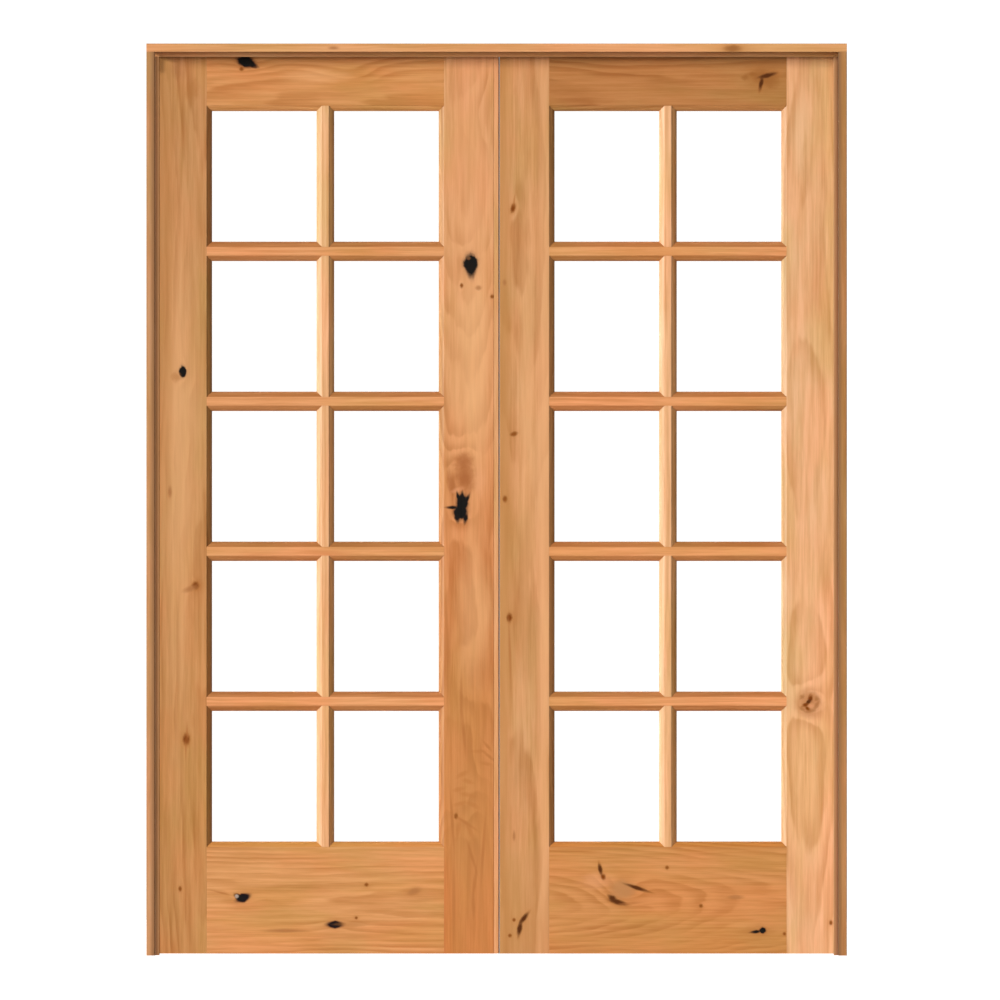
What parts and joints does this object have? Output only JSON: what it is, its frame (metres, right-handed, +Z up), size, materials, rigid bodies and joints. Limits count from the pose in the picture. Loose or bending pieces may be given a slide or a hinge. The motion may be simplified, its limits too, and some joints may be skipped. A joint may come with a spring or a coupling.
{
  "type": "french doors",
  "caption": "Pair of glazed wooden doors hung on butt hinges in their own jamb frame, with divided lites, beads, stops and a meeting strip.",
  "frame": {"origin": "on the floor at the middle of the unit's width and overall depth", "axes": "+Z up, +X to the right seen from the stop side, +Y towards the side that the leaves open to"},
  "size_m": [1.5802, 0.1284, 2.0574],
  "materials": {
    "alder_leaf": "clear satin lacquer on knotty alder",
    "alder_frame": "clear satin lacquer on knotty alder",
    "dowel_wood": "bare",
    "clear_glass": "clear float glass",
    "dark_bronze": "oil-rubbed dark bronze",
    "zinc_screw": "bright zinc"
  },
  "bodies": {
    "frame": {"head_jamb": "alder_frame", "head_stop": "alder_frame", "frame_screws": "zinc_screw", "jamb_hinge_screws": "dark_bronze", "left_jamb": "alder_frame", "left_stop": "alder_frame", "left_hinge_pins": "dark_bronze", "left_bottom_jamb_hinge": "dark_bronze", "left_middle_jamb_hinge": "dark_bronze", "left_top_jamb_hinge": "dark_bronze", "right_jamb": "alder_frame", "right_stop": "alder_frame", "right_hinge_pins": "dark_bronze", "right_bottom_jamb_hinge": "dark_bronze", "right_middle_jamb_hinge": "dark_bronze", "right_top_jamb_hinge": "dark_bronze"},
    "left_leaf": {"left_hinge_stile": "alder_leaf", "left_meeting_stile": "alder_leaf", "left_top_rail": "alder_leaf", "left_bottom_rail": "alder_leaf", "left_upright_bar": "alder_leaf", "left_level_bar_1": "alder_leaf", "left_level_bar_2": "alder_leaf", "left_level_bar_3": "alder_leaf", "left_level_bar_4": "alder_leaf", "left_panes_row_1": "clear_glass", "left_panes_row_2": "clear_glass", "left_panes_row_3": "clear_glass", "left_panes_row_4": "clear_glass", "left_panes_row_5": "clear_glass", "left_glazing_beads": "alder_leaf", "left_dowels": "dowel_wood", "left_leaf_hinge_screws": "dark_bronze", "left_bottom_leaf_hinge": "dark_bronze", "left_middle_leaf_hinge": "dark_bronze", "left_top_leaf_hinge": "dark_bronze", "meeting_strip": "alder_leaf"},
    "right_leaf": {"right_hinge_stile": "alder_leaf", "right_meeting_stile": "alder_leaf", "right_top_rail": "alder_leaf", "right_bottom_rail": "alder_leaf", "right_upright_bar": "alder_leaf", "right_level_bar_1": "alder_leaf", "right_level_bar_2": "alder_leaf", "right_level_bar_3": "alder_leaf", "right_level_bar_4": "alder_leaf", "right_panes_row_1": "clear_glass", "right_panes_row_2": "clear_glass", "right_panes_row_3": "clear_glass", "right_panes_row_4": "clear_glass", "right_panes_row_5": "clear_glass", "right_glazing_beads": "alder_leaf", "right_dowels": "dowel_wood", "right_leaf_hinge_screws": "dark_bronze", "right_bottom_leaf_hinge": "dark_bronze", "right_middle_leaf_hinge": "dark_bronze", "right_top_leaf_hinge": "dark_bronze"}
  },
  "joints": [
    {"name": "left_leaf_swing", "type": "hinge", "parent": "frame", "child": "left_leaf", "pos_m": [-0.7695, 0.05825, 1], "axis": [0, 0, 1], "range_deg": [0, 170]},
    {"name": "right_leaf_swing", "type": "hinge", "parent": "frame", "child": "right_leaf", "pos_m": [0.7695, 0.05825, 1], "axis": [0, 0, -1], "range_deg": [0, 170]}
  ]
}
